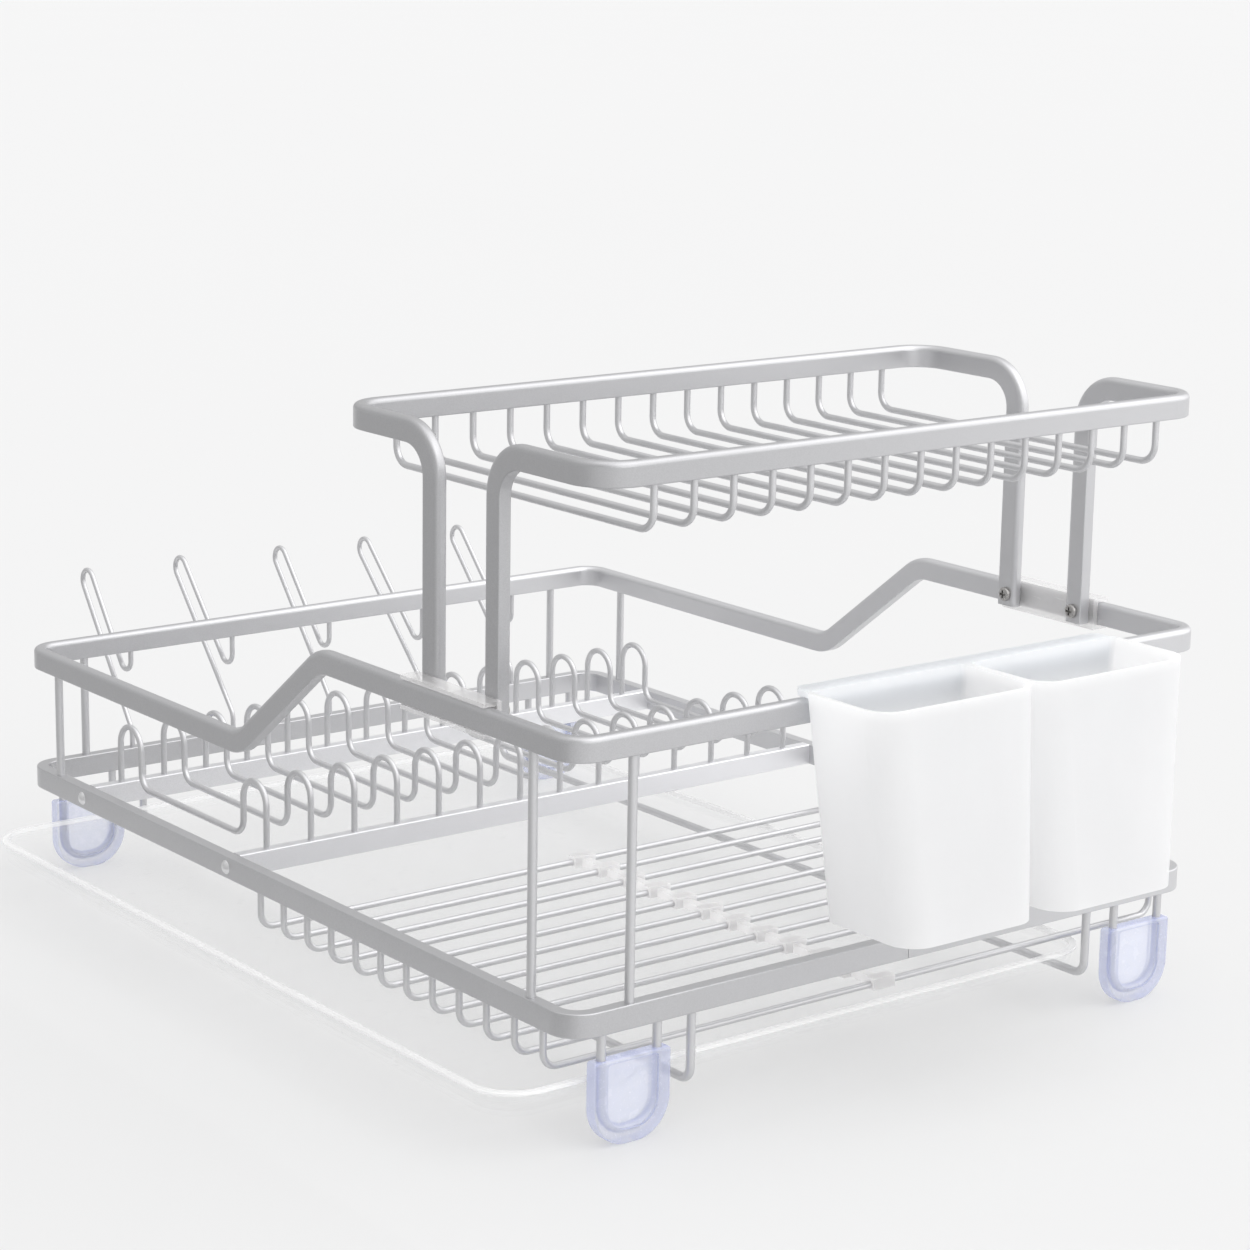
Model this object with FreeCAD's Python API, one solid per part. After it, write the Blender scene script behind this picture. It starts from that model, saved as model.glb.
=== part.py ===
"""Two-tier dish rack: bar frame, wire grids, drip tray, cutlery holder and upper shelf.

Millimetres, +Z up from the worktop. X runs along the short sides, -X towards the tray's open end.
Y runs along the long sides, -Y towards the side that carries the cutlery holder.
The origin is the middle of the overall footprint at worktop level.
"""

import FreeCAD, Part
import math
import os

V = FreeCAD.Vector

# ---- driving dimensions, mm ----
rack_x, rack_y = 13.2, -1.35      # middle of the rack itself, seen from the origin
rack_w, rack_d = 356.0, 458.0     # outside of the two rails along X and Y
bar_t, bar_h = 6.0, 10.5          # aluminium bar: thickness and height
corner_r = 11.0                   # centre-line radius at the corners of both rails
lower_z = 48.5                    # underside of the lower rail
rim_rear_z, rim_front_z = 109.6, 161.8   # undersides of the rim rail's two levels
dip_y, shoulder_y = 23.5, -44.0   # where the sloping side runs meet the two levels
slope_r = 20.0                    # centre-line radius of the slope's bends
soft_r, edge_r = 2.4, 0.6         # big and small roundings of the bar section

post_d = 4.0
post_inset_x, post_inset_y = 31.7, 30.3   # posts from the outside corner, along X and Y

stand_d = 3.8                     # wire of the feet and of the tray supports
foot_in, foot_out = 46.3, 17.9    # the foot wire's legs from the rack's end faces
foot_wire_z, foot_wire_r = 6.0, 12.0
cover_w, cover_h, cover_t, cover_r = 38.6, 37.2, 6.8, 17.0
cover_top_r, cover_edge_r = 1.5, 1.2
pane_inset, pane_depth, pane_top = 6.4, 1.3, 1.6
support_x, support_z, support_r = 114.0, 18.3, 6.0

wire_d = 3.0                      # wire of the grids and the shelf
slot_gap = 0.05                   # running gap round a wire, pin or screw in its hole

plate_count, plate_pitch = 14, 24.0
plate_bar_rear_y, plate_bar_front_y = 171.6, 34.8
arch_r, arch_z = 10.2, 88.6       # plate wire arches: radius and centre-line top
plate_run_z, plate_run_r = 60.3, 8.0

base_count, base_pitch, base_first_y = 12, 19.66, 9.1
base_z, base_r = 31.0, 7.0

strip_x, strip_w, strip_z, strip_h = 7.0, 4.0, 28.9, 4.0
clip_w, clip_d, clip_h = 12.0, 6.0, 5.2

hook_pitch = 59.8
hook_leans = (35.8, 41.0, 39.6, 45.0, 42.6)   # degrees from upright, one per hook
hook_tops = (136.8, 134.8, 134.0, 130.6, 131.6)   # top bend of each hook
hook_foot_z, hook_foot_r = 67.5, 8.0
hook_d, hook_gap, hook_j_r = 2.6, 11.6, 5.5

tray_x0, tray_x1, tray_half_d = -206.0, 128.0, 220.4
tray_z, tray_top, tray_wall, tray_r = 20.5, 28.3, 1.6, 22.0
tray_rim, tray_draft = 1.6, 1.0
trough_x1, trough_z = -122.0, 17.6      # deeper end of the tray: its inner side and underside

shelf_y, shelf_half_d = -138.5, 89.5    # middle of the shelf and its bars' centre lines
shelf_z = 269.5                         # underside of the shelf bars
leg_x, leg_half_gap, leg_z = 166.0, 22.0, 162.5
leg_bend_r, shelf_corner_r = 18.0, 16.0
shelf_count, shelf_pitch, shelf_wire_z, shelf_wire_r = 15, 20.0, 250.6, 8.0

saddle_l, saddle_t, saddle_gap = 60.0, 1.8, 0.3
screw_z, screw_d, screw_head_r, screw_head_h = 168.2, 3.5, 3.3, 2.2
recess_w, recess_l, recess_depth = 0.9, 3.8, 1.3

rivet_head_r, rivet_head_h, rivet_d, rivet_grip = 3.3, 1.6, 4.0, 8.0

seam_x, seam_w, seam_depth = 2.5, 0.35, 0.4   # butt joint of the lower rail

cup_x, cup_gap_top, cup_gap_bottom = 27.9, 0.2, 9.0   # middle of the holder, gap between cups
cup_top_w, cup_bottom_w = 89.6, 75.0
cup_back_top, cup_back_bottom = -229.6, -236.0
cup_front_top, cup_front_bottom = -277.5, -287.0
cup_top_z, cup_floor_z, cup_wall = 175.9, 78.0, 1.8
cup_front_r, cup_back_r = 13.0, 4.0
lip_t, lip_h, lip_drop, lip_gap, lip_in = 1.6, 3.0, 11.0, 0.4, 2.0
drain_r, drain_step = 2.6, 18.0

half_w, half_d = rack_w / 2, rack_d / 2
mid_x, mid_y = half_w - bar_t / 2, half_d - bar_t / 2   # centre lines of the rails
lower_top = lower_z + bar_h


# ---- helpers ----
def rounded_path(points, radii, closed=False):
    """Wire through the points, with an arc of the given radius at every corner."""
    n = len(points)
    corners = range(n) if closed else range(1, n - 1)
    if not isinstance(radii, (list, tuple)):
        radii = [radii] * n
    start, mid, end = list(points), [None] * n, list(points)
    for i in corners:
        p = points[i]
        back = (points[i - 1] - p).normalize()
        ahead = (points[(i + 1) % n] - p).normalize()
        half = back.getAngle(ahead) / 2
        reach = radii[i] / math.tan(half)
        inward = (back + ahead).normalize()
        start[i] = p + back * reach
        end[i] = p + ahead * reach
        mid[i] = p + inward * (radii[i] / math.sin(half) - radii[i])
    edges = []
    for i in range(n):
        if mid[i]:
            edges.append(Part.Arc(start[i], mid[i], end[i]).toShape())
        if i < n - 1 or closed:
            a, b = end[i], start[(i + 1) % n]
            if (b - a).Length > 1e-6:
                edges.append(Part.makeLine(a, b))
    return Part.Wire(edges)


def sweep(path, section):
    return path.makePipeShell([section], True, False)


def rod(points, radii, diameter):
    circle = Part.makeCircle(diameter / 2, points[0], points[1] - points[0])
    return sweep(rounded_path(points, radii), Part.Wire([circle]))


def bar(points, radius, across, up):
    """Bar swept along the points, its softly rounded side facing up at the start."""
    c = points[0]
    a, h = across * (bar_t / 2), up * (bar_h / 2)
    outline = [c - a - h, c + a - h, c + a + h, c - a + h]
    section = rounded_path(outline, [edge_r, edge_r, soft_r, soft_r], closed=True)
    return sweep(rounded_path(points, radius), section)


def fuse(shapes):
    return shapes[0].multiFuse(shapes[1:]).removeSplitter()


def box(x0, x1, y0, y1, z0, z1):
    return Part.makeBox(x1 - x0, y1 - y0, z1 - z0, V(x0, y0, z0))


def cylinder(radius, start, step):
    return Part.makeCylinder(radius, step.Length, start, step)


def rounded_rectangle(x0, x1, y0, y1, z, radius):
    corners = [V(x0, y0, z), V(x1, y0, z), V(x1, y1, z), V(x0, y1, z)]
    return rounded_path(corners, radius, closed=True)


def plate(x0, x1, y0, y1, z0, z1, radius):
    return Part.Face(rounded_rectangle(x0, x1, y0, y1, z0, radius)).extrude(V(0, 0, z1 - z0))


def loft(lower, upper):
    return Part.makeLoft([lower, upper], True, True)


def round_flat_faces(solid, radius, axis):
    """Round the edges of the flat faces that are square to the axis."""
    faces = [f for f in solid.Faces if abs(f.normalAt(0, 0).dot(axis)) > 0.99]
    return solid.makeFillet(radius, [e for f in faces for e in f.Edges])


def mirrored(shape, x=False, y=False):
    for flip, normal in ((x, V(1, 0, 0)), (y, V(0, 1, 0))):
        if flip:
            shape = shape.mirror(V(0, 0, 0), normal)
    return shape


def save(name, shapes):
    shape = shapes[0] if len(shapes) == 1 else Part.makeCompound(shapes)
    shape.translate(V(rack_x, rack_y, 0))
    shape.exportStep(os.path.join("parts", name + ".step"))


# ---- frame rails, plate bars and rivets ----
def rivet_points():
    for y in (plate_bar_rear_y, plate_bar_front_y):
        for side in (-1, 1):
            yield side, V(side * half_w, y, lower_z + bar_h / 2)


def rivet_holes():
    reach = bar_t + rivet_grip + slot_gap
    return [cylinder(rivet_d / 2 + slot_gap, p, V(-side * reach, 0, 0)) for side, p in rivet_points()]


def lower_rail():
    outer = plate(-half_w, half_w, -half_d, half_d, lower_z, lower_top, corner_r + bar_t / 2)
    inner = plate(bar_t - half_w, half_w - bar_t, bar_t - half_d, half_d - bar_t,
                  lower_z, lower_top, corner_r - bar_t / 2)
    ring = round_flat_faces(outer.cut(inner), edge_r, V(0, 0, 1))
    seam_x1 = seam_x + seam_w
    seam = [box(seam_x, seam_x1, -half_d, seam_depth - half_d, lower_z, lower_top),
            box(seam_x, seam_x1, -half_d, bar_t - half_d, lower_top - seam_depth, lower_top)]
    return ring.cut(rivet_holes() + seam)


def rim_rail():
    up, front_z, rear_z = V(0, 0, 1), rim_front_z + bar_h / 2, rim_rear_z + bar_h / 2
    front_y, rear_y = shoulder_y - slope_r, dip_y + slope_r
    pieces = []
    for join_y, end_y, z in ((front_y, -mid_y, front_z), (rear_y, mid_y, rear_z)):
        points = [V(-mid_x, join_y, z), V(-mid_x, end_y, z), V(mid_x, end_y, z), V(mid_x, join_y, z)]
        pieces.append(bar(points, corner_r, V(1, 0, 0), up))
    for x in (-mid_x, mid_x):
        points = [V(x, rear_y, rear_z), V(x, dip_y, rear_z), V(x, shoulder_y, front_z), V(x, front_y, front_z)]
        pieces.append(bar(points, slope_r, V(1, 0, 0), up))
    return fuse(pieces)


def plate_bar(y):
    reach = half_w - bar_t
    blank = box(-reach, reach, y - bar_t / 2, y + bar_t / 2, lower_z, lower_top)
    blank = blank.makeFillet(edge_r, [e for e in blank.Edges if e.Length > reach])
    return blank.cut(rivet_holes())


def rivet(side, p):
    inward = V(-side, 0, 0)
    ball_r = (rivet_head_r ** 2 + rivet_head_h ** 2) / (2 * rivet_head_h)
    ball = Part.makeSphere(ball_r, p + inward * (ball_r - rivet_head_h))
    head = ball.common(cylinder(rivet_head_r, p, inward * -rivet_head_h))
    return head.fuse(cylinder(rivet_d / 2, p, inward * (bar_t + rivet_grip))).removeSplitter()


def post(x, y, top):
    return cylinder(post_d / 2, V(x, y, lower_top), V(0, 0, top - lower_top))


def corner_posts(sx, sy):
    top = rim_front_z if sy < 0 else rim_rear_z
    return [post(sx * (half_w - post_inset_x), sy * mid_y, top), post(sx * mid_x, sy * (half_d - post_inset_y), top)]


# ---- wires ----
def plate_wire(x):
    rear, front = plate_bar_rear_y, plate_bar_front_y
    profile = [(rear, lower_top), (rear, arch_z), (rear - 2 * arch_r, arch_z), (rear - 2 * arch_r, plate_run_z),
               (front + 2 * arch_r, plate_run_z), (front + 2 * arch_r, arch_z), (front, arch_z), (front, lower_top)]
    radii = [0, arch_r, arch_r, plate_run_r, plate_run_r, arch_r, arch_r, 0]
    return rod([V(x, y, z) for y, z in profile], radii, wire_d)


def base_wire(y):
    profile = [(-mid_x, lower_z), (-mid_x, base_z), (mid_x, base_z), (mid_x, lower_z)]
    return rod([V(x, y, z) for x, z in profile], base_r, wire_d)


def spacer_strip(wire_ys):
    last, first = min(wire_ys), max(wire_ys)
    strip = box(strip_x - strip_w / 2, strip_x + strip_w / 2, last, first, strip_z, strip_z + strip_h)
    clips = [box(strip_x - clip_w / 2, strip_x + clip_w / 2, y - clip_d / 2, y + clip_d / 2, strip_z, strip_z + clip_h)
             for y in wire_ys]
    bores = [cylinder(wire_d / 2 + slot_gap, V(strip_x - clip_w, y, base_z), V(2 * clip_w, 0, 0)) for y in wire_ys]
    return fuse([strip] + clips).cut(bores)


def mug_hook(x, lean, top_z):
    along = V(0, math.sin(math.radians(lean)), math.cos(math.radians(lean)))
    aside = V(0, -along.z, along.y) * hook_gap
    foot = V(x, mid_y, hook_foot_z)
    rise = (top_z + hook_gap / 2 - foot.z - aside.z / 2) / along.z
    outer_top = foot + along * rise
    inner_top = outer_top + aside
    turn = inner_top - along * ((inner_top.y - mid_y) / along.y)
    points = [V(x, mid_y, lower_top), foot, outer_top, inner_top, turn, V(x, mid_y, rim_rear_z)]
    return rod(points, [0, hook_foot_r, hook_gap / 2, hook_gap / 2, hook_j_r, 0], hook_d)


# ---- feet and tray supports ----
def foot_wire_path(diameter):
    xs = (half_w - foot_out, half_w - foot_in)
    points = [V(xs[0], mid_y, lower_z), V(xs[0], mid_y, foot_wire_z), V(xs[1], mid_y, foot_wire_z), V(xs[1], mid_y, lower_z)]
    return rod(points, foot_wire_r, diameter)


def d_slab(inset, y0, y1, top):
    """Flat-topped slab with a rounded bottom, in front view, centred on the foot wire."""
    middle = half_w - (foot_in + foot_out) / 2
    x0, x1 = middle - cover_w / 2 + inset, middle + cover_w / 2 - inset
    outline = [V(x0, y0, top), V(x1, y0, top), V(x1, y0, inset), V(x0, y0, inset)]
    radii = [cover_top_r, cover_top_r, cover_r - inset, cover_r - inset]
    return Part.Face(rounded_path(outline, radii, closed=True)).extrude(V(0, y1 - y0, 0))


def foot_cover():
    y0, y1 = mid_y - cover_t / 2, mid_y + cover_t / 2
    body = round_flat_faces(d_slab(0, y0, y1, cover_h), cover_edge_r, V(0, 1, 0))
    pockets = [d_slab(pane_inset, y0, y0 + pane_depth, cover_h - pane_top),
               d_slab(pane_inset, y1 - pane_depth, y1, cover_h - pane_top)]
    return body.cut(pockets + [foot_wire_path(stand_d + 2 * slot_gap)])


def tray_support(x):
    profile = [(-mid_y, lower_z), (-mid_y, support_z), (mid_y, support_z), (mid_y, lower_z)]
    return rod([V(x, y, z) for y, z in profile], support_r, stand_d)


# ---- drip tray ----
def tray_outline(inset, z, x1=tray_x1):
    return rounded_rectangle(tray_x0 + inset, x1 - inset, inset - tray_half_d, tray_half_d - inset, z, tray_r - inset)


def tray_lofts(thickness):
    """Main pan and the deeper trough at its open end, both smaller all round by the thickness."""
    inset = tray_rim + thickness
    return [loft(tray_outline(inset + tray_draft, floor_z + thickness, x1), tray_outline(inset, tray_top, x1))
            for floor_z, x1 in ((tray_z, tray_x1), (trough_z, trough_x1))]


def drip_tray():
    rim = Part.Face(tray_outline(0, tray_top - tray_wall)).extrude(V(0, 0, tray_wall))
    rim = round_flat_faces(rim, tray_wall * 0.4, V(0, 0, 1))
    return fuse(tray_lofts(0) + [rim]).cut(tray_lofts(tray_wall))


# ---- cutlery holder ----
def cup_loft(side, inset, floor_z):
    radii = [cup_front_r - inset] * 2 + [cup_back_r - inset] * 2
    outlines = []
    for z, width, gap, back, front in ((floor_z, cup_bottom_w, cup_gap_bottom, cup_back_bottom, cup_front_bottom),
                                       (cup_top_z, cup_top_w, cup_gap_top, cup_back_top, cup_front_top)):
        middle = cup_x + side * (width + gap) / 2
        outlines.append(rounded_rectangle(middle - width / 2 + inset, middle + width / 2 - inset,
                                          front + inset, back - inset, z, radii))
    return loft(*outlines)


def utensil_holder():
    reach = cup_top_w + cup_gap_top / 2
    x0, x1 = cup_x - reach + lip_in, cup_x + reach - lip_in
    lip_y1 = bar_t - half_d + lip_gap + lip_t
    lip = plate(x0, x1, cup_back_top - 2 * cup_back_r, lip_y1, cup_top_z - lip_h, cup_top_z, cup_back_r)
    hook = box(x0 + cup_back_r, x1 - cup_back_r, lip_y1 - lip_t, lip_y1, cup_top_z - lip_drop, cup_top_z - lip_h)
    body = fuse([lip, hook] + [cup_loft(side, 0, cup_floor_z) for side in (-1, 1)])
    wells = [cup_loft(side, cup_wall, cup_floor_z + cup_wall) for side in (-1, 1)]
    drains = []
    for side in (-1, 1):
        middle = cup_x + side * (cup_bottom_w + cup_gap_bottom) / 2
        middle_y = (cup_back_bottom + cup_front_bottom) / 2
        drains += [cylinder(drain_r, V(middle + k * drain_step, middle_y, cup_floor_z), V(0, 0, cup_wall))
                   for k in (-1, 0, 1)]
    return body.cut(wells + drains)


# ---- upper shelf ----
def screw_points():
    for side in (-1, 1):
        for y in (shelf_y - leg_half_gap, shelf_y + leg_half_gap):
            yield side, V(side * (leg_x - bar_t / 2), y, screw_z)


def screw_holes():
    reach = bar_t + saddle_t + 1
    return [cylinder(screw_d / 2 + slot_gap, p, V(side * reach, 0, 0)) for side, p in screw_points()]


def shelf_bar(facing):
    """Front bar for facing -1, rear bar for +1: two legs, two bends and a long straight run."""
    z, leg_y = shelf_z + bar_h / 2, shelf_y + facing * leg_half_gap
    run_y, join_y = shelf_y + facing * shelf_half_d, shelf_y + facing * (shelf_half_d - shelf_corner_r - 8)
    pieces = [bar([V(-leg_x, join_y, z), V(-leg_x, run_y, z), V(leg_x, run_y, z), V(leg_x, join_y, z)],
                  shelf_corner_r, V(1, 0, 0), V(0, 0, 1))]
    for x in (-leg_x, leg_x):
        points = [V(x, leg_y, leg_z), V(x, leg_y, z), V(x, join_y, z)]
        pieces.append(bar(points, leg_bend_r, V(1, 0, 0), V(0, -facing, 0)))
    return fuse(pieces).cut(screw_holes())


def shelf_wire(x):
    front, rear = shelf_y - shelf_half_d, shelf_y + shelf_half_d
    profile = [(front, shelf_z), (front, shelf_wire_z), (rear, shelf_wire_z), (rear, shelf_z)]
    return rod([V(x, y, z) for y, z in profile], shelf_wire_r, wire_d)


def saddle():
    y0, y1 = shelf_y - saddle_l / 2, shelf_y + saddle_l / 2
    inner_x, rail_x = leg_x + bar_t / 2, half_w - bar_t
    top, bottom = rim_front_z + bar_h + saddle_gap, rim_front_z - saddle_gap
    web = box(inner_x, rail_x - saddle_gap, y0, y1, bottom - saddle_t, top + saddle_t)
    flanges = [box(inner_x, half_w, y0, y1, top, top + saddle_t), box(inner_x, half_w, y0, y1, bottom - saddle_t, bottom)]
    return fuse([web] + flanges)


def screw(side, p):
    outward = V(side, 0, 0)
    head = cylinder(screw_head_r, p, outward * -screw_head_h)
    head = head.makeFillet(screw_head_h * 0.6, [e for e in head.Edges if e.CenterOfMass.x * side < p.x * side - 1])
    web_end = half_w - bar_t - saddle_gap
    shank = cylinder(screw_d / 2, p, outward * (web_end - abs(p.x)))
    slots = []
    for dy, dz in ((recess_l, recess_w), (recess_w, recess_l)):
        slot = Part.makeBox(recess_depth, dy, dz, V(-recess_depth / 2, -dy / 2, -dz / 2))
        slot.translate(p - outward * (screw_head_h - recess_depth / 2))
        slots.append(slot)
    return head.fuse(shank).removeSplitter().cut(slots)


# ---- build every piece ----
os.makedirs("parts", exist_ok=True)

save("lower_rail", [lower_rail()])
save("upper_rim_rail", [rim_rail()])
save("rear_plate_bar", [plate_bar(plate_bar_rear_y)])
save("front_plate_bar", [plate_bar(plate_bar_front_y)])
save("plate_bar_rivets", [rivet(side, p) for side, p in rivet_points()])

for x_name, sx in (("left", -1), ("right", 1)):
    for y_name, sy in (("front", -1), ("rear", 1)):
        corner = y_name + "_" + x_name
        flip = {"x": sx < 0, "y": sy < 0}
        save("corner_posts_" + corner, corner_posts(sx, sy))
        save("foot_wire_" + corner, [mirrored(foot_wire_path(stand_d), **flip)])
        save("foot_cover_" + corner, [mirrored(foot_cover(), **flip)])
    save("tray_support_wire_" + x_name, [tray_support(sx * support_x)])
    save("shelf_saddle_" + x_name, [mirrored(saddle().cut(screw_holes()), x=sx < 0)])

for k in range(plate_count):
    save("plate_wire_%02d" % (k + 1), [plate_wire((k - (plate_count - 1) / 2) * plate_pitch)])

base_ys = [base_first_y - k * base_pitch for k in range(base_count)]
for k, y in enumerate(base_ys):
    save("base_wire_%02d" % (k + 1), [base_wire(y)])
save("wire_spacer_strip", [spacer_strip(base_ys)])

for k, (lean, top_z) in enumerate(zip(hook_leans, hook_tops)):
    save("mug_hook_%d" % (k + 1), [mug_hook((k - (len(hook_leans) - 1) / 2) * hook_pitch, lean, top_z)])

save("drip_tray", [drip_tray()])
save("utensil_holder", [utensil_holder()])

save("shelf_front_bar", [shelf_bar(-1)])
save("shelf_rear_bar", [shelf_bar(1)])
save("shelf_wires", [shelf_wire((k - (shelf_count - 1) / 2) * shelf_pitch) for k in range(shelf_count)])
save("saddle_screws", [screw(side, p) for side, p in screw_points()])
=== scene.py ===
"""Looks for the two-tier dish rack: bars, wires, clear fittings, tray, holder and stage."""
import math

import bmesh
import bpy
from bpy.props import FloatProperty, FloatVectorProperty, PointerProperty
from bpy.types import Operator, Panel, PropertyGroup
from mathutils import Matrix, Vector


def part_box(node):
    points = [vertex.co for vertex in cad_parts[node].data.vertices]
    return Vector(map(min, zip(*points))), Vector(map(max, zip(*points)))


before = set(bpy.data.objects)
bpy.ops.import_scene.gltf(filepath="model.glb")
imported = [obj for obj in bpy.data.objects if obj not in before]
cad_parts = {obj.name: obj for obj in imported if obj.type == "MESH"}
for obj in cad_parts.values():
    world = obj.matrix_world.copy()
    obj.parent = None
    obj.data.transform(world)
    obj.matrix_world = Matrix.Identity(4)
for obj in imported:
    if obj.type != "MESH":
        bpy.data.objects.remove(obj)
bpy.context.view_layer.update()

bl_info = {
    "name": "Dish rack looks",
    "version": (1, 0, 0),
    "blender": (4, 5, 0),
    "location": "3D View > Sidebar > Dish Rack",
    "description": "Finishes for a dish drying rack, with a pale floor, soft light and a camera",
    "category": "Object",
}

RAIL_LOW, RAIL_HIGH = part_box("lower_rail")
RACK_MIDDLE = (Vector(RAIL_LOW) + Vector(RAIL_HIGH)) / 2
MM = 0.001
WHITE = (1.0, 1.0, 1.0)
BLACK = (0.0, 0.0, 0.0)

# the stage
FLOOR_HALF = 60.0
CARD_HALF = 1.4
CARD_MIDDLE = (-1.66, 1.0, 0.002)
FRONT_WAY = (0.61, -0.79)   # level direction of the front light, X and Y
SENSOR_WIDTH = 36.0
FAR_CLIP = 200.0

# how much lighter or darker than their base colour some pieces are; the bar gains are painted
# light and shade
# painted light: the bars are painted lighter towards their +X ends, where more light falls
FAR_SIDE_PAINTED_LIGHT_GAIN = 1.22        # the bars' +X ends
# painted light: the plate bars are painted lighter, standing in for the light on their faces
PLATE_BAR_PAINTED_LIGHT_GAIN = 1.46
# painted shade: the shelf bars are painted darker, standing in for the shade on their front faces
SHELF_BAR_PAINTED_SHADE_GAIN = 0.93
STRIP_GAIN = 1.06
STRIP_DENSITY = 1.6         # opacity of the spacer strip next to the saddles'


# ---- shader building ----
class Value:
    """One output socket of a material; arithmetic on it adds Math nodes."""

    def __init__(self, paint, socket):
        self.paint = paint
        self.socket = socket

    def _math(self, operation, *terms):
        return self.paint.node("ShaderNodeMath", {"operation": operation}, dict(enumerate(terms)))

    def __add__(self, other):
        return self._math("ADD", self, other)

    def __sub__(self, other):
        return self._math("SUBTRACT", self, other)

    def __rsub__(self, other):
        return self._math("SUBTRACT", other, self)

    def __mul__(self, other):
        return self._math("MULTIPLY", self, other)

    def __abs__(self):
        return self._math("ABSOLUTE", self)

    __radd__ = __add__
    __rmul__ = __mul__


class Paint:
    """Builds one material."""

    def __init__(self, name):
        self.material = bpy.data.materials.new(name)
        self.material.use_nodes = True
        self.tree = self.material.node_tree
        self.shader = self.tree.nodes["Principled BSDF"]

    @classmethod
    def on_tree(cls, tree):
        """The same tools on a node tree that isn't a material's."""
        made = cls.__new__(cls)
        made.tree = tree
        return made

    def node(self, kind, settings=None, values=None, output=0):
        """One output of a node of this kind, its settings made first and then its sockets."""
        made = self.tree.nodes.new(kind)
        for key, setting in (settings or {}).items():
            setattr(made, key, setting)
        self.fill(made, values or {})
        return Value(self, made.outputs[output])

    def fill(self, made, values):
        for key, value in values.items():
            if isinstance(value, Value):
                self.tree.links.new(value.socket, made.inputs[key])
            else:
                made.inputs[key].default_value = value

    def place(self, stretch=(1.0, 1.0, 1.0)):
        """Where a point is on the object, in metres, with each axis stretched."""
        here = self.node("ShaderNodeTexCoord", output="Object")
        return self.node("ShaderNodeMapping", values={"Vector": here, "Scale": stretch})

    def noise(self, place, size, detail=2.0, roughness=0.5):
        """Noise about half, with features of this size in metres."""
        values = {"Vector": place, "Scale": 1 / size, "Detail": detail, "Roughness": roughness}
        return self.node("ShaderNodeTexNoise", values=values)

    def ramp(self, value, low, high, start=0.0, end=1.0):
        """The value eased from start at low to end at high."""
        values = {0: value, 1: low, 2: high, 3: start, 4: end}
        return self.node("ShaderNodeMapRange", {"interpolation_type": "SMOOTHSTEP"}, values)

    def mix(self, factor, first, second):
        """The first colour at factor 0 and the second at 1."""
        values = {0: factor, 6: self.colour(first), 7: self.colour(second)}
        return self.node("ShaderNodeMix", {"data_type": "RGBA"}, values, output=2)

    @staticmethod
    def colour(shade):
        return shade if isinstance(shade, Value) else (*shade, 1.0)

    def axis(self, place, name):
        return self.node("ShaderNodeSeparateXYZ", values={"Vector": place}, output=name)

    def bump(self, height, depth, strength=1.0):
        """Surface relief of this depth in metres."""
        values = {"Height": height, "Distance": depth, "Strength": strength}
        return self.node("ShaderNodeBump", values=values)

    def light_through(self, share, shade, relief):
        """Lets this share of the light pass scattered through thin walls."""
        values = {"Color": shade, "Normal": relief}
        glow = self.node("ShaderNodeBsdfTranslucent", values=values)
        front = Value(self, self.shader.outputs["BSDF"])
        both = self.node("ShaderNodeMixShader", values={0: share, 1: front, 2: glow})
        self.fill(self.tree.nodes["Material Output"], {"Surface": both})

    def finish(self, values):
        self.fill(self.shader, values)
        return self.material


def tinted(colour, gain):
    return tuple(min(1.0, c * gain) for c in colour)


def anodised(name, finish, gain=1.0, roughness=0.0):
    """Satin anodised aluminium: blasted grain, faint clouding and a few rubbed patches, with
    painted light that grows towards the +X ends and a gain that paints some bars lighter or
    darker.
    """
    cloud_size, rub_size, grain_depth = 45 * MM, 16 * MM, finish.grain_size * 0.12
    paint = Paint(name)
    here = paint.place()
    grain = paint.noise(here, finish.grain_size, 3.0, 0.65)
    cloud = paint.noise(here, cloud_size, 3.0)
    rubbed = paint.ramp(paint.noise(here, rub_size, 5.0, 0.6), 0.62, 0.78)
    # painted light and shade: the gain paints the plate bars lighter and the shelf bars darker
    # than the rails
    colour = tinted(finish.metal_colour, gain)
    shade = paint.mix(paint.ramp(grain, 0.3, 0.7), tinted(colour, 0.93), tinted(colour, 1.05))
    shade = paint.mix(paint.ramp(cloud, 0.3, 0.7, 0.0, 0.35), shade, tinted(colour, 0.94))
    # painted light: the bars grow lighter towards +X, as if more light fell there
    painted_light_across = paint.ramp(paint.axis(here, "X"), RAIL_LOW[0], RAIL_HIGH[0])
    shade = paint.mix(painted_light_across, shade, tinted(colour, FAR_SIDE_PAINTED_LIGHT_GAIN))
    rough = finish.metal_roughness + roughness + (grain - 0.5) * 0.16
    rough = rough + (cloud - 0.5) * 0.12 - rubbed * 0.06
    relief = paint.bump(grain, grain_depth, 0.55)
    return paint.finish({"Base Color": shade, "Metallic": finish.metallic, "Roughness": rough,
                         "Normal": relief})


def drawn_wire(name, finish):
    """Drawn round wire under the same anodising: a finer grain and faint clouding."""
    grain_size, cloud_size = finish.grain_size * 0.7, 20 * MM
    paint = Paint(name)
    here = paint.place()
    grain = paint.noise(here, grain_size, 2.0, 0.6)
    cloud = paint.noise(here, cloud_size, 2.0)
    colour = finish.wire_colour
    shade = paint.mix(paint.ramp(grain, 0.3, 0.7), tinted(colour, 0.95), tinted(colour, 1.04))
    shade = paint.mix(paint.ramp(cloud, 0.35, 0.7, 0.0, 0.3), shade, tinted(colour, 0.92))
    rough = finish.metal_roughness + (grain - 0.5) * 0.12 + (cloud - 0.5) * 0.10
    relief = paint.bump(grain, finish.grain_size * 0.08, 0.4)
    return paint.finish({"Base Color": shade, "Metallic": finish.metallic, "Roughness": rough,
                         "Normal": relief})


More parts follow.
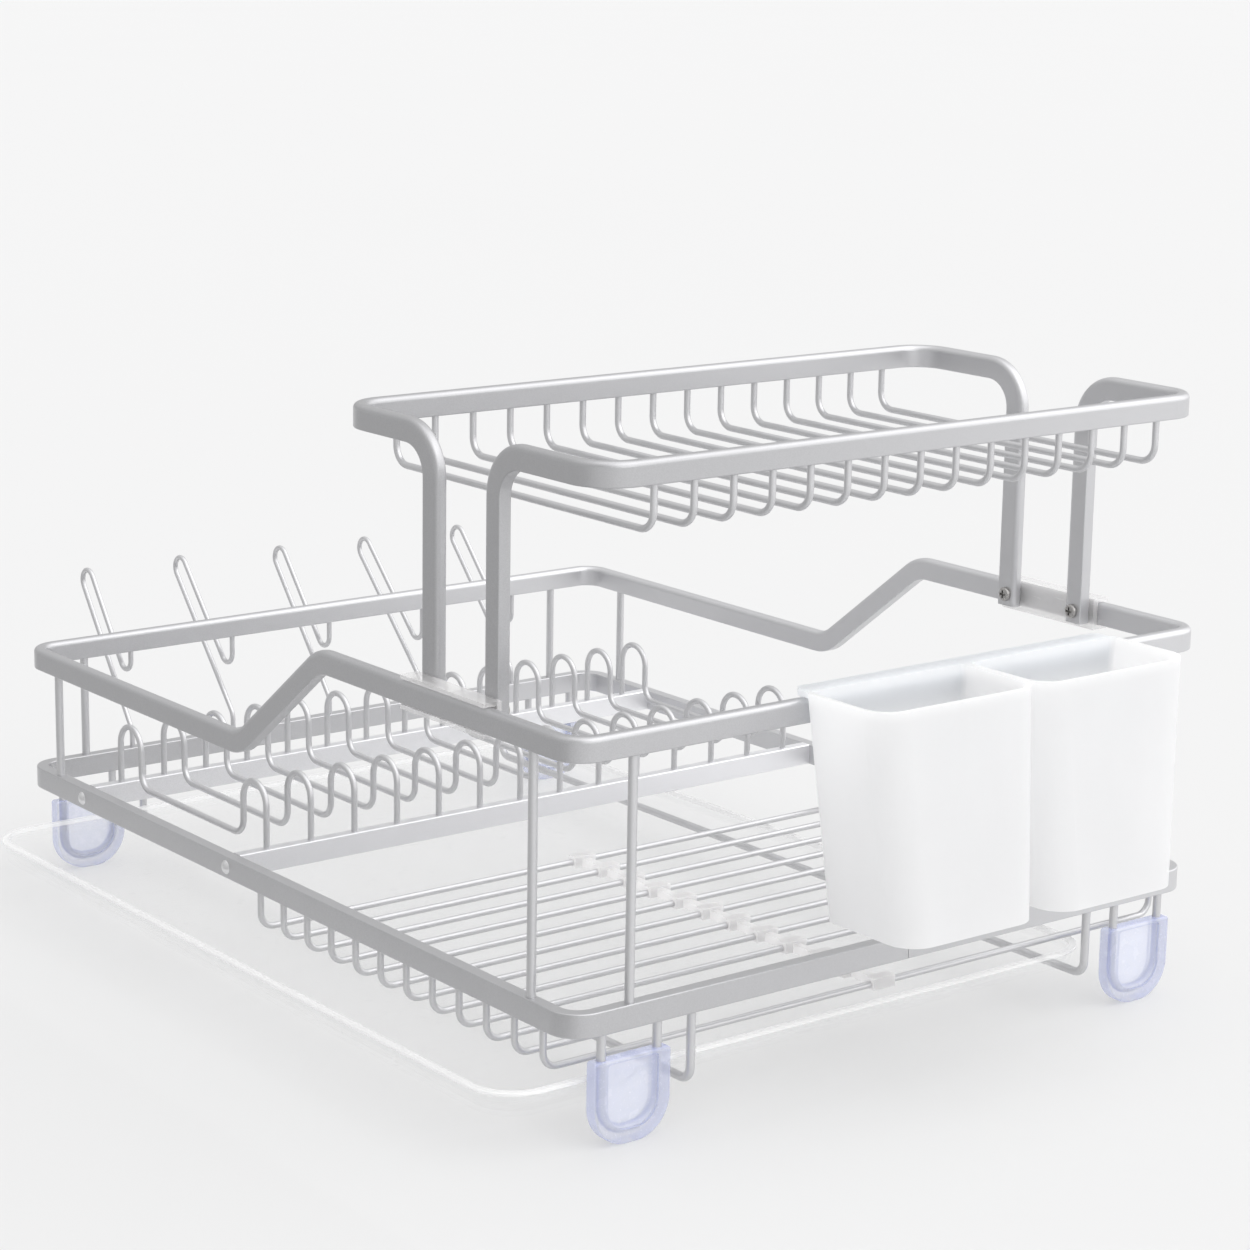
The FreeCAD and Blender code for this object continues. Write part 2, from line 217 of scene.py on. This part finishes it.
def turned_steel(name, colour, roughness):
    """Plated fastener steel with fine turning marks and handling marks."""
    mark_size, mark_depth, wear_size = 0.2 * MM, 0.03 * MM, 1.8 * MM
    paint = Paint(name)
    marks = paint.noise(paint.place((1.0, 0.12, 1.0)), mark_size, 2.0, 0.6)
    wear = paint.ramp(paint.noise(paint.place(), wear_size, 4.0, 0.6), 0.5, 0.75)
    shade = paint.mix(marks, tinted(colour, 0.88), tinted(colour, 1.08))
    shade = paint.mix(wear * 0.5, shade, tinted(colour, 0.72))
    rough = roughness + (marks - 0.5) * 0.14 + wear * 0.12
    relief = paint.bump(marks, mark_depth, 0.5)
    return paint.finish({"Base Color": shade, "Metallic": 1.0, "Roughness": rough,
                         "Normal": relief})


def clear_plastic(name, colour, opacity, roughness, glow):
    """Clear moulded plastic: flow haze, tiny scratches, a glossy skin that light passes and a
    painted sheen that makes it more opaque at grazing angles.
    """
    flow_size, scratch_size, pit_size, pit_depth = 12 * MM, 0.6 * MM, 1.2 * MM, 0.02 * MM
    paint = Paint(name)
    flow = paint.noise(paint.place((1.0, 0.3, 1.0)), flow_size, 3.0)
    scratch = paint.noise(paint.place((1.0, 0.05, 0.4)), scratch_size, 3.0, 0.7)
    scratch = paint.ramp(scratch, 0.60, 0.72)
    pits = paint.noise(paint.place(), pit_size, 2.0)
    shade = paint.mix(flow, tinted(colour, 0.97), tinted(colour, 1.02))
    # painted sheen: more opaque towards grazing angles, standing in for bright reflections along
    # the edges
    edge = paint.node("ShaderNodeLayerWeight", values={"Blend": 0.35}, output="Facing")
    alpha = opacity + edge * 0.30 + (flow - 0.5) * (0.25 * opacity) + scratch * 0.06
    rough = roughness + (flow - 0.5) * 0.08 + scratch * 0.2
    relief = paint.bump(pits, pit_depth, 0.4)
    paint.finish({"Base Color": shade, "Alpha": alpha, "Roughness": rough, "Normal": relief,
                  "IOR": 1.49, "Coat Weight": 0.4, "Coat Roughness": 0.06})
    paint.light_through(glow, shade, relief)
    return paint.material


def tray_plastic(name, clear):
    """Clear tray sheet: nearly invisible floor, milkier walls and a painted highlight along the
    rolled rim, painted white and more opaque.
    """
    flow_size, flow_depth, scratch_size, spot_size = 50 * MM, 0.4 * MM, 1.5 * MM, 6 * MM
    paint = Paint(name)
    here = paint.place()
    low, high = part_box("drip_tray")
    height = paint.axis(here, "Z")
    # painted highlight: the rolled rim is painted white and more opaque, standing in for the
    # bright line of light along it
    rim = paint.ramp(height, high[2] - 2.4 * MM, high[2] - 1.4 * MM)
    wall = paint.ramp(height, low[2] + 3.6 * MM, low[2] + 6.2 * MM)
    flow = paint.noise(paint.place((1.0, 0.35, 1.0)), flow_size, 3.0)
    scratch = paint.noise(paint.place((0.06, 1.0, 1.0)), scratch_size, 3.0, 0.7)
    scratch = paint.ramp(scratch, 0.62, 0.74)
    spots = paint.ramp(paint.noise(here, spot_size, 1.0), 0.66, 0.74)
    colour = clear.tray_colour
    shade = paint.mix(flow, tinted(colour, 0.97), tinted(colour, 1.02))
    # painted highlight: white along the rim
    shade = paint.mix(rim, shade, WHITE)
    alpha = clear.tray_opacity + (flow - 0.5) * 0.04 + wall * 0.08 + rim * 0.34
    alpha = alpha + scratch * 0.03 + spots * 0.02
    rough = 0.22 + (flow - 0.5) * 0.10 + scratch * 0.15 + spots * 0.10
    relief = paint.bump(flow, flow_depth, 0.25)
    values = {"Base Color": shade, "Alpha": alpha, "Roughness": rough, "Normal": relief}
    return paint.finish({**values, "IOR": 1.49, "Coat Weight": 0.35, "Coat Roughness": 0.08})


def frosted_plastic(name, clear):
    """Frosted holder plastic: blasted skin, soft light through it, painted shade as a cooler tint
    on the rear wall inside the well and painted light that whitens the lip.
    """
    grain_size, grain_depth, flow_size = 0.5 * MM, 0.04 * MM, 30 * MM
    paint = Paint(name)
    here = paint.place()
    _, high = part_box("utensil_holder")
    height = paint.axis(here, "Z")
    painted_lip_light = paint.ramp(height, high[2] - 5 * MM, high[2] - 1 * MM)
    grain = paint.noise(here, grain_size, 3.0, 0.7)
    flow = paint.noise(paint.place((1.0, 1.0, 0.3)), flow_size, 3.0)
    colour = clear.holder_colour
    shade = paint.mix(flow, tinted(colour, 0.985), tinted(colour, 1.015))
    # painted shade: a cooler tint on the rear wall, where the inside of the well lies in shade
    painted_well_shade = paint.ramp(paint.axis(here, "Y"), high[1] - 12 * MM, high[1] - 9 * MM)
    shade = paint.mix(painted_well_shade * 0.7, shade, clear.holder_well_shade_colour)
    # painted light: whiter and a little more opaque towards the top of the lip, where the light
    # falls
    shade = paint.mix(painted_lip_light * 0.5, shade, WHITE)
    alpha = clear.holder_opacity + (flow - 0.5) * 0.06 + painted_lip_light * 0.03
    rough = 0.52 + (grain - 0.5) * 0.16 + (flow - 0.5) * 0.08
    relief = paint.bump(grain, grain_depth, 0.5)
    values = {"Base Color": shade, "Alpha": alpha, "Roughness": rough, "Normal": relief}
    paint.finish({**values, "IOR": 1.46})
    paint.light_through(clear.holder_glow, shade, relief)
    return paint.material


def foot_vinyl(name, clear):
    """Soft blue-tinted vinyl: a deep moulded rim round a thin pane."""
    wire_radius, flow_size, flow_depth, speck_size = 1.9 * MM, 8 * MM, 0.3 * MM, 0.9 * MM
    paint = Paint(name)
    here = paint.place()
    _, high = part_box("foot_wire_rear_right")
    wire_y = high[1] - wire_radius - RACK_MIDDLE.y
    off_centre = abs(abs(paint.axis(here, "Y") - RACK_MIDDLE.y) - wire_y)
    rim = paint.ramp(off_centre, 2.2 * MM, 3.0 * MM)
    flow = paint.noise(here, flow_size, 3.0)
    specks = paint.ramp(paint.noise(here, speck_size, 2.0, 0.6), 0.62, 0.72)
    colour = clear.foot_colour
    facing = paint.node("ShaderNodeTexCoord", output="Normal")
    side = paint.ramp(abs(paint.axis(facing, "Y")), 0.35, 0.97, 1.0, 0.0)
    shade = paint.mix(rim, tinted(colour, 1.10), tinted(colour, 0.98))
    shade = paint.mix(side * 0.75, shade, clear.foot_edge_colour)
    shade = paint.mix(flow * 0.4, shade, tinted(colour, 1.05))
    alpha = clear.foot_opacity + side * 0.22 - rim * 0.04 + (flow - 0.5) * 0.06 + specks * 0.04
    rough = 0.26 + (flow - 0.5) * 0.12 + specks * 0.15
    relief = paint.bump(flow, flow_depth, 0.3)
    values = {"Base Color": shade, "Alpha": alpha, "Roughness": rough, "Normal": relief}
    depth = {"Subsurface Weight": 0.3, "Subsurface Radius": (0.8, 0.85, 1.0),
             "Subsurface Scale": 4 * MM}
    skin = {"IOR": 1.52, "Coat Weight": 0.2, "Coat Roughness": 0.15}
    return paint.finish({**values, **depth, **skin})


def floor_paint(name, stage):
    """Matt white floor, lit a little from below, with the faintest unevenness."""
    cloud_size = 0.8
    paint = Paint(name)
    cloud = paint.noise(paint.place(), cloud_size, 2.0)
    shade = paint.mix(cloud, tinted(stage.floor_colour, 0.99), tinted(stage.floor_colour, 1.01))
    glow = {"Emission Color": paint.colour(WHITE), "Emission Strength": stage.floor_glow}
    return paint.finish({"Base Color": shade, "Roughness": 0.6 + (cloud - 0.5) * 0.1,
                         "Specular IOR Level": 0.2, **glow})


# ---- dressing the pieces ----
def nodes_named(*starts):
    """The rack's own pieces whose names start with one of these."""
    return [piece for name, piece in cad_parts.items() if name.startswith(starts)]


def dress(pieces, material):
    if not pieces:
        raise RuntimeError("no piece to dress with " + material.name)
    for piece in pieces:
        if not piece.material_slots:
            piece.data.materials.append(material)
        for slot in piece.material_slots:
            slot.material = material


# ---- settings ----
class MetalFinish(PropertyGroup):
    metal_colour: FloatVectorProperty(
        name="Bar colour", description="Anodised colour of the bars", subtype="COLOR", size=3,
        min=0.0, max=1.0, default=(0.51, 0.51, 0.522))
    wire_colour: FloatVectorProperty(
        name="Wire colour",
        description="Anodised colour of the wires and posts", subtype="COLOR", size=3,
        min=0.0, max=1.0, default=(0.61, 0.61, 0.622))
    screw_colour: FloatVectorProperty(
        name="Screw colour", description="Plating of the saddle screws", subtype="COLOR", size=3,
        min=0.0, max=1.0, default=(0.42, 0.41, 0.40))
    rivet_colour: FloatVectorProperty(
        name="Rivet colour", description="Bare metal of the domed rivets", subtype="COLOR", size=3,
        min=0.0, max=1.0, default=(0.78, 0.78, 0.79))
    metal_roughness: FloatProperty(
        name="Metal roughness", description="How matt the anodising is", subtype="FACTOR",
        min=0.0, max=1.0, default=0.36)
    metallic: FloatProperty(
        name="Metallic",
        description="Share of the metal's own shine under its oxide skin", subtype="FACTOR",
        min=0.0, max=1.0, default=0.78)
    grain_size: FloatProperty(
        name="Grain size",
        description="Size of the blasted grain under the anodising", unit="LENGTH",
        min=0.0001, max=0.005, precision=5, default=0.0005)


class PlasticFinish(PropertyGroup):
    tray_colour: FloatVectorProperty(
        name="Tray colour", description="Tint of the clear tray", subtype="COLOR", size=3,
        min=0.0, max=1.0, default=(0.90, 0.905, 0.915))
    tray_opacity: FloatProperty(
        name="Tray opacity", description="How much the tray floor hides", subtype="FACTOR",
        min=0.0, max=1.0, default=0.02)
    holder_colour: FloatVectorProperty(
        name="Holder colour",
        description="Frosted white of the cutlery holder", subtype="COLOR", size=3,
        min=0.0, max=1.0, default=(0.955, 0.955, 0.957))
    # painted shade: the cooler tint stands in for the shaded inside of the well
    holder_well_shade_colour: FloatVectorProperty(
        name="Holder well colour",
        description="Cooler tint of the holder's inner wall", subtype="COLOR", size=3,
        min=0.0, max=1.0, default=(0.95, 0.975, 1.0))
    holder_opacity: FloatProperty(
        name="Holder opacity", description="How much the frosted walls hide", subtype="FACTOR",
        min=0.0, max=1.0, default=0.90)
    holder_glow: FloatProperty(
        name="Holder glow",
        description="Share of light that passes scattered through the frosted walls",
        subtype="FACTOR", min=0.0, max=1.0, default=0.74)
    foot_colour: FloatVectorProperty(
        name="Foot colour", description="Blue tint of the foot covers", subtype="COLOR", size=3,
        min=0.0, max=1.0, default=(0.66, 0.69, 0.83))
    foot_edge_colour: FloatVectorProperty(
        name="Foot edge colour", description="Deeper tint seen along the edges of the foot covers",
        subtype="COLOR", size=3, min=0.0, max=1.0, default=(0.52, 0.57, 0.92))
    foot_opacity: FloatProperty(
        name="Foot opacity",
        description="How much the thin pane of a foot cover hides", subtype="FACTOR",
        min=0.0, max=1.0, default=0.34)
    fitting_colour: FloatVectorProperty(
        name="Fitting colour",
        description="Tint of the clear saddles and the spacer strip", subtype="COLOR",
        size=3, min=0.0, max=1.0, default=(0.94, 0.93, 0.93))
    fitting_opacity: FloatProperty(
        name="Fitting opacity", description="How much the clear fittings hide", subtype="FACTOR",
        min=0.0, max=1.0, default=0.24)


class StageSettings(PropertyGroup):
    camera_position: FloatVectorProperty(
        name="Camera position",
        description="Where the camera stands", subtype="TRANSLATION", unit="LENGTH",
        size=3, default=(-0.8809, -1.18275, 0.4952))
    camera_yaw: FloatProperty(
        name="Camera yaw", description="Turn from +Y towards +X", subtype="ANGLE", unit="ROTATION",
        default=math.radians(37.853))
    camera_pitch: FloatProperty(
        name="Camera pitch",
        description="Tilt above the horizon", subtype="ANGLE", unit="ROTATION",
        default=math.radians(-13.056))
    camera_roll: FloatProperty(
        name="Camera roll",
        description="Turn about the line of sight", subtype="ANGLE", unit="ROTATION",
        default=math.radians(0.956))
    camera_lens: FloatProperty(
        name="Camera lens",
        description="Focal length on a 36 mm sensor, in millimetres", min=10.0, default=92.1)
    floor_colour: FloatVectorProperty(
        name="Floor colour", description="Colour of the studio floor", subtype="COLOR", size=3,
        min=0.0, max=1.0, default=(0.375, 0.375, 0.376))
    floor_glow: FloatProperty(
        name="Floor glow",
        description="Brightness of the light from under the floor", min=0.0, default=0.385)
    sky_strength: FloatProperty(
        name="Sky strength",
        description="Brightness of the light at the horizon", min=0.0, default=0.62)
    sky_top: FloatProperty(
        name="Top light",
        description="How much brighter the sky is overhead", min=0.0, default=0.40)
    card_brightness: FloatProperty(
        name="Card brightness",
        description="Grey of the card that the bars mirror beyond the tray's open end",
        min=0.0, default=0.48)
    sky_front: FloatProperty(
        name="Front light",
        description="How much brighter the sky is beyond the cutlery holder", min=0.0,
        default=1.10)
    sun_strength: FloatProperty(
        name="Softbox strength",
        description="Brightness of the wide overhead light", min=0.0, default=0.65)
    sun_width: FloatProperty(
        name="Softbox width", description="Apparent width of the overhead light", subtype="ANGLE",
        unit="ROTATION", default=math.radians(75))
    sun_direction: FloatVectorProperty(
        name="Softbox direction",
        description="Way from the rack to the overhead light", subtype="DIRECTION",
        size=3, default=(0.15, -0.30, 1.0))


# ---- operators ----
class RACK_OT_bars(Operator):
    """Give the two rails, the plate bars and the shelf bars their anodised finish"""
    bl_idname = "rack.bars"
    bl_label = "Anodise the bars"

    def execute(self, context):
        finish = context.scene.rack_metal
        dress(nodes_named("lower_rail", "upper_rim_rail"), anodised("anodised_rail", finish))
        # painted light: the plate bars' material is painted lighter than the rails'
        dress(nodes_named("rear_plate_bar", "front_plate_bar"),
              anodised("anodised_plate_bar", finish, PLATE_BAR_PAINTED_LIGHT_GAIN, roughness=0.03))
        # painted shade: the shelf bars' material is painted darker than the rails'
        dress(nodes_named("shelf_front_bar", "shelf_rear_bar"),
              anodised("anodised_shelf_bar", finish, SHELF_BAR_PAINTED_SHADE_GAIN, roughness=-0.02))
        return {"FINISHED"}


class RACK_OT_wires(Operator):
    """Give the posts, the grid wires, the mug hooks and the feet wires their finish"""
    bl_idname = "rack.wires"
    bl_label = "Anodise the wires"

    def execute(self, context):
        wires = nodes_named("corner_posts", "foot_wire", "tray_support_wire", "plate_wire",
                            "base_wire", "mug_hook", "shelf_wires")
        dress(wires, drawn_wire("anodised_wire", context.scene.rack_metal))
        return {"FINISHED"}


class RACK_OT_fasteners(Operator):
    """Finish the domed rivets and the saddle screws"""
    bl_idname = "rack.fasteners"
    bl_label = "Finish the fasteners"

    def execute(self, context):
        finish = context.scene.rack_metal
        dress(nodes_named("plate_bar_rivets"),
              turned_steel("rivet_metal", finish.rivet_colour, roughness=0.30))
        dress(nodes_named("saddle_screws"),
              turned_steel("screw_steel", finish.screw_colour, roughness=0.28))
        return {"FINISHED"}


class RACK_OT_clear_fittings(Operator):
    """Finish the clear shelf saddles and the clear spacer strip under the base wires"""
    bl_idname = "rack.clear_fittings"
    bl_label = "Finish the clear fittings"

    def execute(self, context):
        plastic = context.scene.rack_plastic
        colour, opacity = plastic.fitting_colour, plastic.fitting_opacity
        saddle = clear_plastic("clear_saddle", colour, opacity, roughness=0.12, glow=0.0)
        strip = clear_plastic("clear_strip", tinted(colour, STRIP_GAIN), opacity * STRIP_DENSITY,
                              roughness=0.30, glow=0.65)
        dress(nodes_named("shelf_saddle"), saddle)
        dress(nodes_named("wire_spacer_strip"), strip)
        return {"FINISHED"}


class RACK_OT_foot_covers(Operator):
    """Finish the four vinyl foot covers"""
    bl_idname = "rack.foot_covers"
    bl_label = "Finish the foot covers"

    def execute(self, context):
        vinyl = foot_vinyl("foot_vinyl", context.scene.rack_plastic)
        dress(nodes_named("foot_cover"), vinyl)
        return {"FINISHED"}


class RACK_OT_tray(Operator):
    """Finish the clear drip tray"""
    bl_idname = "rack.tray"
    bl_label = "Finish the drip tray"

    def execute(self, context):
        sheet = tray_plastic("tray_plastic", context.scene.rack_plastic)
        dress(nodes_named("drip_tray"), sheet)
        return {"FINISHED"}


class RACK_OT_holder(Operator):
    """Finish the frosted cutlery holder"""
    bl_idname = "rack.holder"
    bl_label = "Finish the cutlery holder"

    def execute(self, context):
        frosted = frosted_plastic("frosted_plastic", context.scene.rack_plastic)
        dress(nodes_named("utensil_holder"), frosted)
        return {"FINISHED"}


class RACK_OT_stage(Operator):
    """Lay the floor, hang the lights and set the camera"""
    bl_idname = "rack.stage"
    bl_label = "Set the stage"

    def execute(self, context):
        stage = context.scene.rack_stage
        self.lay_floor(context, stage)
        self.hang_lights(context, stage)
        self.lay_card(context, stage)
        self.set_camera(context, stage)
        context.scene.view_settings.view_transform = "Standard"
        return {"FINISHED"}

    def lay_square(self, context, name, half, middle, material):
        """A flat square on the stage, 2 * half wide."""
        shape = bmesh.new()
        bmesh.ops.create_grid(shape, x_segments=1, y_segments=1, size=half)
        bmesh.ops.translate(shape, verts=shape.verts, vec=middle)
        mesh = bpy.data.meshes.new(name)
        shape.to_mesh(mesh)
        shape.free()
        mesh.materials.append(material)
        square = bpy.data.objects.new(name, mesh)
        context.scene.collection.objects.link(square)
        return square

    def lay_floor(self, context, stage):
        self.lay_square(context, "floor", FLOOR_HALF, (0.0, 0.0, 0.0),
                        floor_paint("floor_white", stage))

    def hang_lights(self, context, stage):
        world = bpy.data.worlds.new("studio")
        context.scene.world = world
        world.use_nodes = True
        sky = Paint.on_tree(world.node_tree)
        way = sky.node("ShaderNodeTexCoord", output="Generated")
        front = sky.axis(way, "X") * FRONT_WAY[0] + sky.axis(way, "Y") * FRONT_WAY[1]
        bright = stage.sky_strength + stage.sky_top * sky.ramp(sky.axis(way, "Z"), 0.1, 1.0)
        bright = bright + stage.sky_front * sky.ramp(front, 0.0, 0.8)
        background = world.node_tree.nodes["Background"]
        sky.fill(background, {"Color": sky.colour(WHITE), "Strength": bright})
        light = bpy.data.lights.new("softbox", "SUN")
        light.energy = stage.sun_strength
        light.angle = stage.sun_width
        lamp = bpy.data.objects.new("softbox", light)
        lamp.rotation_euler = Vector(stage.sun_direction).to_track_quat("Z", "Y").to_euler()
        context.scene.collection.objects.link(lamp)

    def lay_card(self, context, stage):
        """A grey card on the floor beyond the tray's open end, seen only in reflections."""
        paint = Paint("card_grey")
        grey = paint.finish({"Base Color": paint.colour(BLACK),
                             "Emission Color": paint.colour(WHITE),
                             "Emission Strength": stage.card_brightness})
        card = self.lay_square(context, "grey_card", CARD_HALF, CARD_MIDDLE, grey)
        card.visible_camera = card.visible_diffuse = False
        card.visible_transmission = card.visible_shadow = False

    def set_camera(self, context, stage):
        yaw, pitch, roll = stage.camera_yaw, stage.camera_pitch, stage.camera_roll
        flat = math.cos(pitch)
        ahead = Vector((math.sin(yaw) * flat, math.cos(yaw) * flat, math.sin(pitch)))
        level = Vector((math.cos(yaw), -math.sin(yaw), 0.0))
        upright = level.cross(ahead)
        right = level * math.cos(roll) + upright * math.sin(roll)
        up = upright * math.cos(roll) - level * math.sin(roll)
        data = bpy.data.cameras.new("camera")
        data.sensor_width = SENSOR_WIDTH
        data.lens = stage.camera_lens
        data.clip_end = FAR_CLIP
        camera = bpy.data.objects.new("camera", data)
        turn = Matrix((right, up, -ahead)).transposed().to_4x4()
        camera.matrix_world = Matrix.Translation(stage.camera_position) @ turn
        context.scene.collection.objects.link(camera)
        context.scene.camera = camera


OPERATORS = (RACK_OT_bars, RACK_OT_wires, RACK_OT_fasteners, RACK_OT_clear_fittings,
             RACK_OT_foot_covers, RACK_OT_tray, RACK_OT_holder, RACK_OT_stage)


class RACK_PT_looks(Panel):
    """Settings and steps of the dish rack's looks"""
    bl_idname = "RACK_PT_looks"
    bl_label = "Dish Rack"
    bl_space_type = "VIEW_3D"
    bl_region_type = "UI"
    bl_category = "Dish Rack"

    def draw(self, context):
        for group in SETTINGS:
            settings = getattr(context.scene, group)
            box = self.layout.box()
            for name in settings.__annotations__:
                box.prop(settings, name)
        for operator in OPERATORS:
            self.layout.operator(operator.bl_idname)


SETTINGS = {"rack_metal": MetalFinish, "rack_plastic": PlasticFinish, "rack_stage": StageSettings}


def register():
    for kind in (*SETTINGS.values(), *OPERATORS, RACK_PT_looks):
        bpy.utils.register_class(kind)
    for name, kind in SETTINGS.items():
        setattr(bpy.types.Scene, name, PointerProperty(type=kind))


def unregister():
    for name in SETTINGS:
        delattr(bpy.types.Scene, name)
    for kind in (RACK_PT_looks, *reversed(OPERATORS), *reversed(SETTINGS.values())):
        bpy.utils.unregister_class(kind)


def main():
    register()
    for operator in OPERATORS:
        group, name = operator.bl_idname.split(".")
        getattr(getattr(bpy.ops, group), name)()


if __name__ == "__main__":
    main()
